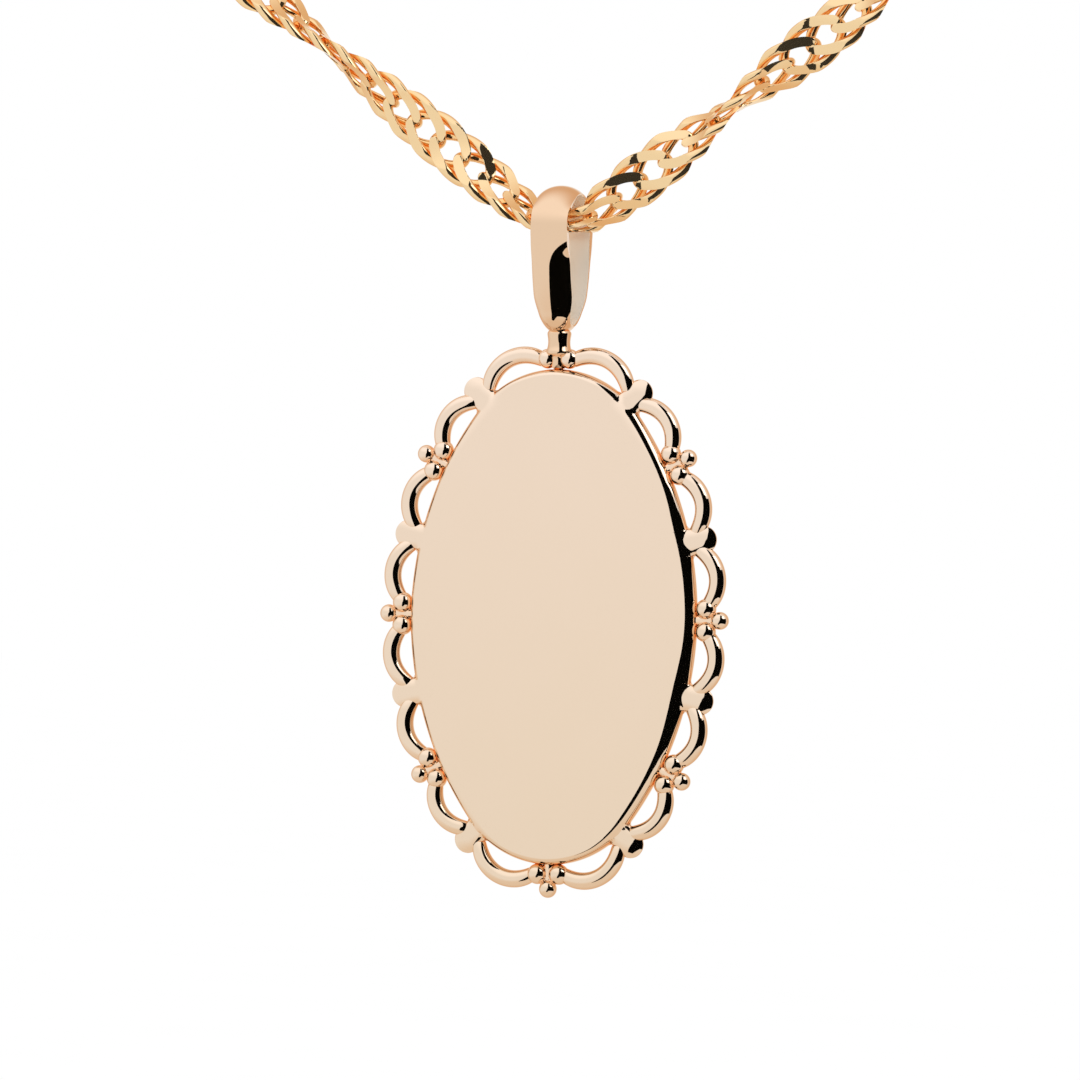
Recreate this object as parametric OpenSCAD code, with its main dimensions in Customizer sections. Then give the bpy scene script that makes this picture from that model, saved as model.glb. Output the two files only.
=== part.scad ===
// Oval locket with a pierced lace border, hanging by its bail on a twisted curb chain.
// Millimetres, +Z up, the polished face towards -Y.
// The origin lies halfway between the two end rings that the chain hangs from.

/* [Case] */
// Width of the polished oval plate, without the lace
plate_w = 15.2; // [13:0.1:18]
// Height of the polished oval plate, without the lace
plate_h = 24.8; // [22:0.1:30]
// Thickness of the plate, rounded over its whole edge
plate_t = 1.15; // [1.05:0.05:1.5]
// End radius of the oval as a share of half its width
oval_end = 0.69; // [0.62:0.01:0.78]

/* [Lid and hinge] */
// How far the lid stays inside the plate's outline
lid_inset = 0.75; // [0.65:0.05:1]
// Thickness of the lid
lid_t = 1.15; // [1.05:0.05:1.5]
// Width of the flat rim left around the photo well
well_margin = 2.05; // [1.9:0.05:2.4]
// Metal left behind each photo well
well_floor = 0.45; // [0.4:0.05:0.6]
// Outer radius of the hinge tubes
knuckle_r = 0.45; // [0.4:0.01:0.5]
// Radius of the hinge pin
pin_r = 0.2; // [0.16:0.01:0.24]
// Length of the middle hinge tube
knuckle_mid = 1.9; // [1.5:0.1:2.4]
// Length of each outer hinge tube
knuckle_end = 1.4; // [1:0.1:1.8]

/* [Lace border] */
// Radius of the wire that the arches are bent from
arch_r = 0.42; // [0.34:0.01:0.42]
// How far the middle of an arch stands off the plate's edge
arch_rise = 1.15; // [1.05:0.01:1.3]
// How much flatter the two arches beside the stem are
top_flat = 0.2; // [0.1:0.05:0.3]
// Radius of the lobes cast into the plate's edge
lobe_r = 0.54; // [0.45:0.01:0.55]
// How far a lobe reaches past the plate's edge
lobe_reach = 1.35; // [1.2:0.05:1.45]
// Radius of the beads
bead_r = 0.42; // [0.4:0.01:0.44]
// How far the inner beads stand off the plate's edge
bead_off = 0.5; // [0.48:0.01:0.6]
// Half the distance between the two inner beads
bead_half = 0.56; // [0.5:0.01:0.6]
// How far the outer bead stands beyond the inner pair
bead_step = 0.76; // [0.7:0.01:0.84]
// First lobe from the top and from the bottom, in sixteenths of the border
first_lobe = 1.12; // [1:0.01:1.2]

/* [Bail] */
// Radius of the stem under the bail
stem_r = 0.6; // [0.5:0.05:0.7]
// Visible length of the stem
stem_len = 0.85; // [0.7:0.05:1.2]
// Width of the bail's band at its shoulders
bail_w = 1.9; // [1.7:0.05:2.2]
// Width of the bail's band at its foot
bail_foot_w = 1.25; // [1.2:0.05:1.6]
// Thickness of the bail's band on its crown line
bail_t = 0.55; // [0.45:0.05:0.7]
// Inner radius of the bail's narrow foot
bail_foot_r = 0.8; // [0.65:0.05:0.9]
// Distance between the centres of the bail's crown and foot
bail_span = 4.1; // [3.8:0.1:4.8]

/* [Chain] */
// Thickness of the chain wire
wire = 0.48; // [0.4:0.02:0.5]
// Length of a link along its wire's centre
link_len = 3.9; // [3.8:0.05:4.1]
// Width of a link across its wire's centre
link_w = 2.05; // [1.9:0.05:2.15]
// Distance from one link to the next
pitch = 1.6; // [1.55:0.01:1.65]
// Links on each side of the one in the bail
links_side = 14; // [13:1:15]
// Slope of each strand
strand_deg = 37.1; // [34:0.1:40]
// Radius of the bend inside the bail
bend_r = 3; // [2.6:0.1:3.6]
// Twist from link to link on the left strand
twist_left = 18; // [16:0.5:24]
// Twist from link to link on the right strand
twist_right = 26; // [20:0.5:27]
// Bore radius of the end rings
ring_bore = 1.5; // [1.4:0.05:1.8]

/* [Hidden] */
$fn = 96;
// Steps around the lobes, which are drawn with flats
lobe_steps = 32;
rose = [0.93, 0.83, 0.74];
gold = [0.93, 0.77, 0.48];
// Clearances
seam_gap = 0.03;
pin_gap = 0.03;
end_gap = 0.05;
solder_gap = 0.02;
arch_gap = 0.05;
insert_gap = 0.01;
well_gap = 0.03;
// The oval is drawn with two end arcs and two side arcs that share tangents
half_w = plate_w / 2;
half_h = plate_h / 2;
end_r = half_w * oval_end;
end_c = half_h - end_r;
side_r = (end_c * end_c + half_w * half_w - end_r * end_r) / (2 * (half_w - end_r));
side_c = side_r - half_w;
joint_deg = atan2(end_c, side_c);
// Sixteen stations along the bead line; the steps next to the top and the bottom are longer
end_arc = (end_r + bead_off) * (90 - joint_deg) * PI / 180;
side_arc = (side_r + bead_off) * joint_deg * PI / 180;
station = (end_arc + side_arc) / 4;
// Depths are measured from the plate's middle plane, towards the viewer
back_z = -plate_t / 2;
lid_z = back_z - seam_gap;
lid_back = lid_z - lid_t;
case_floor = plate_t / 2 - well_floor;
lid_floor = lid_back + well_floor;
// The plate's edge is rounded over its whole thickness, the lid's back edge over a radius
plate_rows = [for (a = [-90:15:90]) [-plate_t / 2 * (1 - cos(a)), plate_t / 2 * sin(a)]];
lid_soft = 0.5;
lid_rows = [for (a = [0:15:90]) [-lid_inset - lid_soft * (1 - sin(a)), lid_back + lid_soft * (1 - cos(a))]];
card_t = 0.12;
window_t = 0.24;
rim_w = 0.75;
// Hinge line on the rim behind the plate
hinge_x = -(half_w - 0.65);
hinge_z = back_z - knuckle_r - end_gap;
notch_x = hinge_x + knuckle_r + 0.1;
mid_half = knuckle_mid / 2;
out_half = mid_half + end_gap + knuckle_end;
bore_r = pin_r + pin_gap;
head_t = 0.15;
head_r = pin_r + 0.13;
notch_half = out_half + solder_gap + head_t + 0.1;
// Where an arch ends inside a lobe or a bead: stations from it, and offset from the plate's edge
lobe_end = [0.08, 0.5];
bead_end = [0.15, 0.55];
// Lobes are rooted this deep in the plate, beads are held by a spoke and a bar
lobe_root = 1.2;
spoke_r = 0.24;
bar_r = 0.22;
// The stem is thinner between the top beads, and widens to its full radius over a short cone
peg_r = stem_r - 0.22;
cone_len = 0.3;
cone_up = 0.05;
// Catch on the side opposite the hinge
catch_x = half_w - well_margin + 0.3;
catch_t = 0.3;
catch_half = 0.9;
catch_in = 0.42;
// Heights above the plate's centre
foot_z = half_h + bead_off + 0.38;
bail_in = link_w / 2 + wire / 2 + 0.185;
bail_low = foot_z + stem_len;
foot_c = bail_low + bail_t + bail_foot_r;
crown_c = foot_c + bail_span;
bail_lean = asin((bail_in - bail_foot_r) / bail_span);
leg = bail_span * cos(bail_lean);
bail_edge = 0.45 * bail_t;
bail_taper = 0.45 * bail_span;
// Lengths along half of the bail's inner line: crown, leg and foot
crown_len = bail_in * (90 + bail_lean) * PI / 180;
foot_len = bail_foot_r * (90 - bail_lean) * PI / 180;
crown_steps = 12;
leg_steps = 4;
foot_steps = 6;
// Chain path: a bend through the bail's crown and a straight strand on each side
bend_len = bend_r * strand_deg * PI / 180;
link_twist = -22.5 / pitch;
// Each strand ends in a ring with a small eye that the last link hangs in
ring_wire = 0.32;
ring_flat = 0.22;
ring_mid = ring_bore + ring_flat;
eye_wire = 0.25;
eye_mid = wire + eye_wire;
eye_gap = 0.06;
ring_joint = 0.12;
last_s = links_side * pitch + link_len / 2;
grip_s = last_s - wire / 2 - eye_wire - eye_gap;
eye_s = grip_s + eye_mid;
ring_s = eye_s + eye_mid + eye_wire + ring_mid + ring_wire - ring_joint;
ring_c = path(ring_s);
// Points on the outline of the flat inserts
oval_steps = 96;
// Sides and steps of each link's wire
wire_sides = 6;
wire_steps = 18;

// Point and outward direction on the oval, u stations from the top towards the right, d outside it
function quarter(u, d) =
  let (s = station * (u < 1 ? first_lobe * u : first_lobe + (u - 1) * (4 - first_lobe) / 3))
  let (top = s < end_arc)
  let (turn = top ? 90 - s / (end_r + bead_off) * 180 / PI
                  : joint_deg - (s - end_arc) / (side_r + bead_off) * 180 / PI)
  let (r = (top ? end_r : side_r) + d)
  let (c = top ? [0, end_c] : [-side_c, 0])
  [c[0] + r * cos(turn), c[1] + r * sin(turn), turn];

// The same for any of the sixteen stations, by symmetry
function rim_at(t, d) =
  let (w = (t + 32) % 16)
  let (q = w <= 4 ? quarter(w, d)
         : w <= 8 ? quarter(8 - w, d)
         : w <= 12 ? quarter(w - 8, d)
         : quarter(16 - w, d))
  w <= 4 ? q
  : w <= 8 ? [q[0], -q[1], -q[2]]
  : w <= 12 ? [-q[0], -q[1], 180 + q[2]]
  : [-q[0], q[1], 180 - q[2]];

// Outline of the oval at offset d
function oval_line(d) =
  [for (i = [0:oval_steps - 1]) let (q = rim_at(-i * 16 / oval_steps, d)) [q[0], q[1]]];

// Chain path in x and z, s along it from the middle of the bend
function path(s) =
  let (a = abs(s))
  let (bend = a < bend_len ? a / bend_r * 180 / PI : strand_deg)
  let (more = max(0, a - bend_len))
  let (x = bend_r * sin(bend) + more * cos(bend))
  let (z = crown_c + bend_r * (1 - cos(bend)) + more * sin(bend))
  [s < 0 ? -x : x, z];

// Slope of the path
function slope(s) = (s < 0 ? -1 : 1) * min(abs(s) / bend_r * 180 / PI, strand_deg);

// Turn of link i about the path; at 0 its broad side faces the viewer
function link_turn(i) =
  i == 0 ? -90 : i > 0 ? -90 + twist_right * (i - 0.3) : -90 + twist_left * (i + 0.3);

// Wire centre of link i at angle t around it
function link_at(i, t) =
  let (x = link_len / 2 * cos(t))
  let (r = link_w / 2 * sin(t))
  let (s = i * pitch + x)
  let (turn = link_turn(i) + link_twist * x)
  let (p = path(s))
  let (n = [-sin(slope(s)), 0, cos(slope(s))])
  [p[0], 0, p[1]] + r * (cos(turn) * n + sin(turn) * [0, 1, 0]);

function unit(v) = v / norm(v);

// One ring of points around the wire of link i
function wire_ring(i, t) =
  let (c = link_at(i, t))
  let (along = unit(link_at(i, t + 1) - link_at(i, t - 1)))
  let (mid = link_at(i, 90) / 2 + link_at(i, 270) / 2)
  let (out = (c - mid) - ((c - mid) * along) * along)
  let (e1 = unit(out))
  let (e2 = cross(along, e1))
  [for (k = [0:wire_sides - 1])
    let (a = (k + 0.5) * 360 / wire_sides)
    c + wire / 2 * (cos(a) * e1 + sin(a) * e2)];

// Distances along half of the bail's inner line at which its rings stand
bail_stops = concat(
  [for (n = [0:crown_steps - 1]) crown_len * n / crown_steps],
  [for (n = [0:leg_steps - 1]) crown_len + leg * n / leg_steps],
  [for (n = [0:foot_steps]) crown_len + leg + foot_len * n / foot_steps]
);

// Point in y and z on the bail's inner line, a from the crown's top, and its outward direction
function bail_at(a) =
  let (on_leg = max(0, min(a - crown_len, leg)))
  let (on_foot = max(0, a - crown_len - leg))
  let (turn = min(a, crown_len) / bail_in * 180 / PI + on_foot / bail_foot_r * 180 / PI)
  let (out = [sin(turn), cos(turn)])
  let (c = [0, on_foot > 0 ? foot_c : crown_c])
  let (leg_way = [cos(turn), -sin(turn)] * (on_foot > 0 ? 0 : on_leg))
  [c + (on_foot > 0 ? bail_foot_r : bail_in) * out + leg_way, out];

// Width of the bail's band at height z
function band_w(z) =
  let (t = max(0, min(1, (z - bail_low) / bail_taper)))
  bail_foot_w + (bail_w - bail_foot_w) * t * t * (3 - 2 * t);

// One ring of the bail's domed band; side -1 is the other half of the loop
function band_ring(a, side) =
  let (b = bail_at(a))
  let (p = b[0])
  let (out = b[1])
  let (half = band_w(p[1]) / 2)
  let (section = concat(
    [[half, 0], [-half, 0]],
    [for (x = [-1, -0.8, -0.4, 0, 0.4, 0.8, 1]) [x * half, bail_t - (bail_t - bail_edge) * x * x]]
  ))
  [for (q = section) [q[0], side * (p[0] + q[1] * out[0]), p[1] + q[1] * out[1]]];

// Places a shape drawn flat, oval in x and y and facing +z, upright with its face towards -Y
module upright() {
  rotate([90, 0, 0]) children();
}

// Moves the whole part so that the ring centres lie on the x axis
module hung() {
  translate([0, 0, -ring_c[1]]) children();
}

// Solid through a stack of oval outlines, each row an offset and a height, from low to high
module oval_stack(rows) {
  n = oval_steps;
  top = (len(rows) - 1) * n;
  points = [for (r = rows) for (q = oval_line(r[0])) [q[0], q[1], r[1]]];
  walls = [
    for (j = [0:len(rows) - 2]) for (k = [0:n - 1])
      let (a = j * n)
      let (k2 = (k + 1) % n)
      each [[a + k, a + n + k, a + n + k2], [a + k, a + n + k2, a + k2]]
  ];
  ends = [[for (k = [0:n - 1]) k], [for (k = [n - 1:-1:0]) top + k]];
  polyhedron(points = points, faces = concat(walls, ends), convexity = 4);
}

// Rod with a round end, from z = 0 to len
module bullet(r, len) {
  rotate_extrude()
    union() {
      square([r, len - r]);
      translate([0, len - r]) intersection() {
        circle(r = r);
        square([r, r]);
      }
    }
}

// Lobe k cast into the plate's edge, grown by g where it is cut out of a neighbour
module lobe(k, g = 0) {
  p = rim_at(k, -lobe_root);
  translate([p[0], p[1], 0]) rotate([0, 90, p[2]]) bullet(lobe_r + g, lobe_root + lobe_reach + g);
}

// Bead centres of the cluster at station k: the inner pair and then the outer bead
function beads(k) =
  let (p = rim_at(k, bead_off))
  let (q = rim_at(k, bead_off + bead_step))
  let (side = [-sin(p[2]), cos(p[2])] * bead_half)
  [[p[0] + side[0], p[1] + side[1]], [p[0] - side[0], p[1] - side[1]], [q[0], q[1]]];

module bead_balls(k, g, count) {
  c = beads(k);
  for (i = [0:count - 1])
    translate([c[i][0], c[i][1], 0]) rotate(rim_at(k, 0)[2]) sphere(r = bead_r + g);
}

module front_case() {
  color(rose) upright() difference() {
    union() {
      oval_stack(plate_rows);
      for (k = [1:2:15]) lobe(k, $fn = lobe_steps);
    }
    translate([0, 0, back_z - 1]) linear_extrude(height = case_floor - back_z + 1)
      polygon(oval_line(-well_margin));
    translate([catch_x - 0.08, -catch_half - 0.1, back_z - 1])
      cube([catch_t + 0.2, 2 * catch_half + 0.2, catch_in + 0.05 + 1]);
  }
}

module rear_lid() {
  color(rose) upright() difference() {
    oval_stack(concat(lid_rows, [[-lid_inset, lid_z]]));
    translate([0, 0, lid_floor]) linear_extrude(height = lid_t) polygon(oval_line(-well_margin));
    translate([-half_w, -notch_half, lid_back - 1]) cube([notch_x + half_w, 2 * notch_half, lid_t + 2]);
  }
}

// Hinge tube between two heights along the hinge line
module knuckle(low, high) {
  translate([hinge_x, low, hinge_z]) rotate([-90, 0, 0]) cylinder(r = knuckle_r, h = high - low);
}

module knuckle_bore() {
  translate([hinge_x, -out_half - 1, hinge_z]) rotate([-90, 0, 0])
    cylinder(r = bore_r, h = 2 * out_half + 2);
}

// Outer tube with the foot that it is soldered down by
module case_knuckle(low, high) {
  color(rose) upright() difference() {
    union() {
      knuckle(low, high);
      translate([hinge_x - 0.3, low, hinge_z]) cube([0.6, high - low, back_z - hinge_z]);
    }
    knuckle_bore();
  }
}

module case_knuckle_top() {
  case_knuckle(mid_half + end_gap, out_half);
}

module case_knuckle_low() {
  case_knuckle(-out_half, -mid_half - end_gap);
}

// Middle tube with the leaf that joins it to the lid
module lid_knuckle() {
  color(rose) upright() difference() {
    union() {
      knuckle(-mid_half, mid_half);
      translate([hinge_x, -mid_half, hinge_z - 0.28])
        cube([notch_x - hinge_x, 2 * mid_half, 0.56]);
    }
    knuckle_bore();
  }
}

module hinge_pin() {
  color(gold) upright() translate([hinge_x, 0, hinge_z]) rotate([-90, 0, 0]) union() {
    cylinder(r = pin_r, h = 2 * (out_half + solder_gap + head_t), center = true);
    for (s = [-1, 1])
      translate([0, 0, s * (out_half + solder_gap + head_t / 2)])
        cylinder(r = head_r, h = head_t, center = true);
  }
}

// Tongue on the lid that snaps into the slot in the case
module catch_tongue() {
  color(rose) upright() translate([catch_x, -catch_half, lid_z])
    cube([catch_t, 2 * catch_half, catch_in + seam_gap - 0.02]);
}

// Small lip that a fingernail lifts the lid by
module nail_tab() {
  color(rose) upright() difference() {
    translate([half_w - lid_inset - 0.15, 0, lid_back + 0.25]) cylinder(r = 0.6, h = 0.4);
    translate([0, 0, lid_back - 1]) linear_extrude(height = lid_t + 2)
      polygon(oval_line(solder_gap - lid_inset));
  }
}

// Flat insert in a well, from depth low, t thick
module insert(low, t) {
  translate([0, 0, low]) linear_extrude(height = t) polygon(oval_line(-well_margin - well_gap));
}

// Spring rim that holds a window down
module rim(low, t) {
  translate([0, 0, low]) linear_extrude(height = t) difference() {
    polygon(oval_line(-well_margin - well_gap));
    polygon(oval_line(-well_margin - rim_w));
  }
}

module case_card() {
  color([0.96, 0.95, 0.92]) upright() insert(case_floor - insert_gap - card_t, card_t);
}

module case_window() {
  color([0.85, 0.92, 0.95, 0.4]) upright()
    insert(case_floor - 2 * insert_gap - card_t - window_t, window_t);
}

module case_rim() {
  top = case_floor - 3 * insert_gap - card_t - window_t;
  color(rose) upright() rim(back_z + 0.02, top - back_z - 0.02);
}

module lid_card() {
  color([0.96, 0.95, 0.92]) upright() insert(lid_floor + insert_gap, card_t);
}

module lid_window() {
  color([0.85, 0.92, 0.95, 0.4]) upright() insert(lid_floor + 2 * insert_gap + card_t, window_t);
}

module lid_rim() {
  low = lid_floor + 3 * insert_gap + card_t + window_t;
  color(rose) upright() rim(low, lid_z - 0.02 - low);
}

// Arch k springs from the flank of a lobe and lands on the shoulder of a bead cluster
module lace_arch(k) {
  from_lobe = k % 2 == 1;
  first = from_lobe ? lobe_end : bead_end;
  last = from_lobe ? bead_end : lobe_end;
  e1 = rim_at(k + first[0], first[1]);
  e2 = rim_at(k + 1 - last[0], last[1]);
  m = rim_at(k + 0.5, k == 0 || k == 15 ? arch_rise - top_flat : arch_rise);
  a = [e1[0], e1[1]];
  b = [e2[0], e2[1]];
  mid = (a + b) / 2;
  chord = norm(b - a);
  across = unit(b - a);
  out = [-across[1], across[0]];
  rise = ([m[0], m[1]] - mid) * out;
  r = (chord * chord / 4 + rise * rise) / (2 * rise);
  half = asin(chord / 2 / r);
  c = mid + out * (rise - r);
  lobe_k = from_lobe ? k : k + 1;
  bead_k = from_lobe ? k + 1 : k;
  color(rose) upright() difference() {
    translate([c[0], c[1], 0]) rotate(atan2(out[1], out[0]) - half)
      rotate_extrude(angle = 2 * half) translate([r, 0]) circle(r = arch_r);
    lobe(lobe_k, solder_gap);
    bead_balls(bead_k, arch_gap, bead_k % 16 == 0 ? 2 : 3);
    if (bead_k % 16 == 0) stem_peg(solder_gap);
  }
}

// Cluster of three beads on a short spoke; the top one is a pair beside the stem
module bead_cluster(n) {
  k = 2 * (n - 1);
  p = rim_at(k, solder_gap);
  c = beads(k);
  color(rose) upright()
    if (n == 1)
      difference() {
        bead_balls(k, 0, 2);
        stem_peg(solder_gap);
      }
    else
      union() {
        bead_balls(k, 0, 3);
        translate([p[0], p[1], 0]) rotate([0, 90, p[2]])
          cylinder(r = spoke_r, h = bead_off + bead_step - solder_gap);
        translate([c[0][0], c[0][1], 0]) rotate([0, 90, p[2] - 90])
          cylinder(r = bar_r, h = 2 * bead_half);
      }
}

// Lower part of the stem, between the top beads
module stem_peg(g = 0) {
  translate([0, half_h + solder_gap - g, 0]) rotate([-90, 0, 0])
    cylinder(r = peg_r + g, h = foot_z - half_h);
}

module bail_stem() {
  color(rose) upright() difference() {
    union() {
      stem_peg();
      translate([0, foot_z + cone_up - cone_len, 0]) rotate([-90, 0, 0])
        cylinder(r1 = peg_r, r2 = stem_r, h = cone_len);
      translate([0, foot_z + cone_up, 0]) rotate([-90, 0, 0])
        cylinder(r = stem_r, h = stem_len + bail_t / 2);
    }
    translate([-5, foot_c, 0]) rotate([0, 90, 0])
      cylinder(r = bail_foot_r + bail_t + solder_gap, h = 10);
    bead_balls(0, solder_gap, 2);
  }
}

// The bail is one swept band, with the rings of its half loop from the crown's top to the foot
module bail() {
  half = len(bail_stops);
  side = [for (a = bail_stops) band_ring(a, 1)];
  back = [for (n = [half - 2:-1:1]) band_ring(bail_stops[n], -1)];
  rings = concat(side, back);
  m = len(rings[0]);
  color(rose) loop_solid([for (r = rings) for (p = r) p], len(rings), m);
}

// Closed loop of n rings with m points each
module loop_solid(points, n, m) {
  faces = [
    for (j = [0:n - 1]) for (k = [0:m - 1])
      let (a = j * m)
      let (b = ((j + 1) % n) * m)
      let (k2 = (k + 1) % m)
      each [[a + k, b + k2, a + k2], [a + k, b + k, b + k2]]
  ];
  polyhedron(points = points, faces = faces, convexity = 6);
}

// One twisted oval link, its wire swept around a closed loop
module chain_link(i) {
  points = [for (j = [0:wire_steps - 1]) for (p = wire_ring(i, j * 360 / wire_steps)) p];
  loop_solid(points, wire_steps, wire_sides);
}

module chain_bail_links() {
  color(gold) for (i = [-1:1]) chain_link(i);
}

module chain_left_links() {
  color(gold) for (i = [2:links_side]) chain_link(-i);
}

module chain_right_links() {
  color(gold) for (i = [2:links_side]) chain_link(i);
}

// Soldered ring with a flat inner wall and a small eye, at the end of a strand
module end_ring(side) {
  eye = path(side * eye_s);
  turn = link_turn(side * links_side) + side * link_twist * link_len / 2;
  color(gold) union() {
    translate([side * ring_c[0], 0, ring_c[1]]) rotate([90, 0, 0])
      rotate_extrude() intersection() {
        translate([ring_mid, 0]) circle(r = ring_wire);
        translate([ring_bore, -ring_mid]) square(2 * ring_mid);
      }
    translate([eye[0], 0, eye[1]]) rotate([0, -side * strand_deg, 0]) rotate([-turn, 0, 0])
      rotate_extrude() translate([eye_mid, 0]) circle(r = eye_wire);
  }
}

module left_end_ring() {
  end_ring(-1);
}

module right_end_ring() {
  end_ring(1);
}

function two(i) = i < 10 ? str("0", i) : str(i);

hung() front_case();
hung() rear_lid();
hung() case_knuckle_top();
hung() case_knuckle_low();
hung() lid_knuckle();
hung() hinge_pin();
hung() catch_tongue();
hung() nail_tab();
hung() case_card();
hung() case_window();
hung() case_rim();
hung() lid_card();
hung() lid_window();
hung() lid_rim();
for (k = [1:16])
  hung() lace_arch(k - 1);
for (n = [1:8])
  hung() bead_cluster(n);
hung() bail_stem();
hung() bail();
hung() chain_bail_links();
hung() chain_left_links();
hung() chain_right_links();
hung() left_end_ring();
hung() right_end_ring();
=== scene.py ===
# %% [markdown]
# # An oval locket with a lace border
#
# This lesson dresses the construction model of a locket. The shapes are modelled in millimetres around the
# middle of the oval face, which looks towards -Y, and every finished piece is then scaled down to metres and
# moved to the place that the construction model gives it.

# %% Load the frame
import math

import bpy
import numpy as np
from mathutils import Matrix, Vector


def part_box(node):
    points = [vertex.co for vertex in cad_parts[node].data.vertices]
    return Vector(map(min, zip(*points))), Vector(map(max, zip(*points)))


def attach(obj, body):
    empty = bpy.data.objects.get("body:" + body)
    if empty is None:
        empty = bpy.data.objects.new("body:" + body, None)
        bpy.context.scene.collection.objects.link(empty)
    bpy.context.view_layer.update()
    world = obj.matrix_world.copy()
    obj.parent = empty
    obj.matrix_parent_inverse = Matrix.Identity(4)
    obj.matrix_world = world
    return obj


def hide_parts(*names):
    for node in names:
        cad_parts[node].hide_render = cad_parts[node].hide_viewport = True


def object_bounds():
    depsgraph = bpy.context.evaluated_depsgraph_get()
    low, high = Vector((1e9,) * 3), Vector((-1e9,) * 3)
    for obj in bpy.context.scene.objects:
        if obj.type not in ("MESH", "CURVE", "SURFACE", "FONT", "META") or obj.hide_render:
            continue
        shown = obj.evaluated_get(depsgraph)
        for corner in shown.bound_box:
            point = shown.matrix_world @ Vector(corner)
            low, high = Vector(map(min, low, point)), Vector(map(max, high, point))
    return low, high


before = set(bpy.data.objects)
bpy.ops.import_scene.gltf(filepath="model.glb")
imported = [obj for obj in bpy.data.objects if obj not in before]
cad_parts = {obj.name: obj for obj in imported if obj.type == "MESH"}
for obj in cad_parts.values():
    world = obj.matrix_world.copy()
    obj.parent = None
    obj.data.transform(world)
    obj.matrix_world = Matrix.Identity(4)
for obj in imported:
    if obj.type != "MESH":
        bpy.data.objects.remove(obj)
cad_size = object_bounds()
MM = 0.001
case_low, case_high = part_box("front_case")
FACE_Z = (case_low.z + case_high.z) / 2
print("face centre at z =", round(FACE_Z / MM, 3), "mm")

# %% [markdown]
# ## The outline that everything follows
#
# A goldsmith lays out an oval with four arcs that share their tangents: two tight ones at the ends and two
# wide ones at the sides. The lace is then stepped off along it at sixteen stations. The same few sizes
# give the plate, the lid, the arches and the beads their places, so they are worked out once.

# %% Oval and stations
HALF_W, HALF_H, PLATE_T, END_SHARE = 7.6, 12.4, 1.15, 0.69
BEAD_OFF, FIRST_LOBE = 0.5, 1.12
END_R = END_SHARE * HALF_W
END_C = HALF_H - END_R
SIDE_R = (END_C**2 + HALF_W**2 - END_R**2) / (2 * (HALF_W - END_R))
SIDE_C = SIDE_R - HALF_W
JOINT = math.atan2(END_C, SIDE_C)
END_ARC = (END_R + BEAD_OFF) * (math.pi / 2 - JOINT)
SIDE_ARC = (SIDE_R + BEAD_OFF) * JOINT
STATION = (END_ARC + SIDE_ARC) / 4


def rim_at(station, off):
    """Points x and z on the oval and their outward turn, with stations counted from the top to the right."""
    w = np.mod(np.asarray(station, float), 16)
    quad = (w // 4).astype(int)
    u = np.choose(quad, [w, 8 - w, w - 8, 16 - w])
    s = STATION * np.interp(u, [0, 1, 4], [0, FIRST_LOBE, 4])
    top = s < END_ARC
    turn = np.where(top, math.pi / 2 - s / (END_R + BEAD_OFF), JOINT - (s - END_ARC) / (SIDE_R + BEAD_OFF))
    r = np.where(top, END_R, SIDE_R) + off
    x = np.where(top, 0, -SIDE_C) + r * np.cos(turn)
    z = np.where(top, END_C, 0) + r * np.sin(turn)
    sign_x, sign_z = np.choose(quad, [1, 1, -1, -1]), np.choose(quad, [1, -1, -1, 1])
    turn = np.choose(quad, [turn, -turn, math.pi + turn, math.pi - turn])
    return x * sign_x, z * sign_z, turn


print("stations are", round(STATION, 3), "mm apart")

# %% [markdown]
# ## Bench tools
#
# Most of the locket is drawn wire or rolled sheet, which in Blender is a row of cross-sections with skin
# between them. The loft tool adds a grid, lays each of its rows on one cross-section, merges the seam and
# closes the ends. The lathe turns a profile with it, and boxes serve as feet and as cutters. The hang tool
# takes a finished piece off the bench: it scales it to metres, shades it smooth between its sharp edges and
# lets it ride on the body that carries it.


# %% Loft, lathe, box and hang
SHARP = math.radians(34)


def clear_bench():
    """Leaves edit mode and deselects everything, so that an operator acts on nothing by accident."""
    if bpy.context.object and bpy.context.object.mode != "OBJECT":
        bpy.ops.object.mode_set(mode="OBJECT")
    bpy.ops.object.select_all(action="DESELECT")


def take(obj):
    """Makes one piece the only selected and the active one."""
    clear_bench()
    obj.select_set(True)
    bpy.context.view_layer.objects.active = obj
    return obj


def weld(obj, close):
    """Merges the points of a seam, closes open ends and turns the normals outwards."""
    take(obj)
    bpy.ops.object.mode_set(mode="EDIT")
    bpy.ops.mesh.select_all(action="SELECT")
    bpy.ops.mesh.remove_doubles(threshold=1e-5)
    if close:
        bpy.ops.mesh.fill_holes(sides=0)
    bpy.ops.mesh.select_all(action="SELECT")
    bpy.ops.mesh.normals_make_consistent(inside=False)
    bpy.ops.object.mode_set(mode="OBJECT")
    return obj


def loft(name, rows, loop=False):
    """Skin over rows of points; every row is closed, and with loop the last row meets the first."""
    rows = np.asarray(rows, float)
    along, around = len(rows) - (0 if loop else 1), rows.shape[1]
    clear_bench()
    bpy.ops.mesh.primitive_grid_add(x_subdivisions=around, y_subdivisions=along, size=1)
    obj = bpy.context.object
    obj.name = obj.data.name = name
    flat = np.empty(len(obj.data.vertices) * 3)
    obj.data.vertices.foreach_get("co", flat)
    flat = flat.reshape(-1, 3)
    i = np.rint((flat[:, 0] + 0.5) * around).astype(int) % around
    j = np.rint((flat[:, 1] + 0.5) * along).astype(int) % len(rows)
    obj.data.vertices.foreach_set("co", rows[j, i].ravel())
    return weld(obj, not loop)


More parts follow.
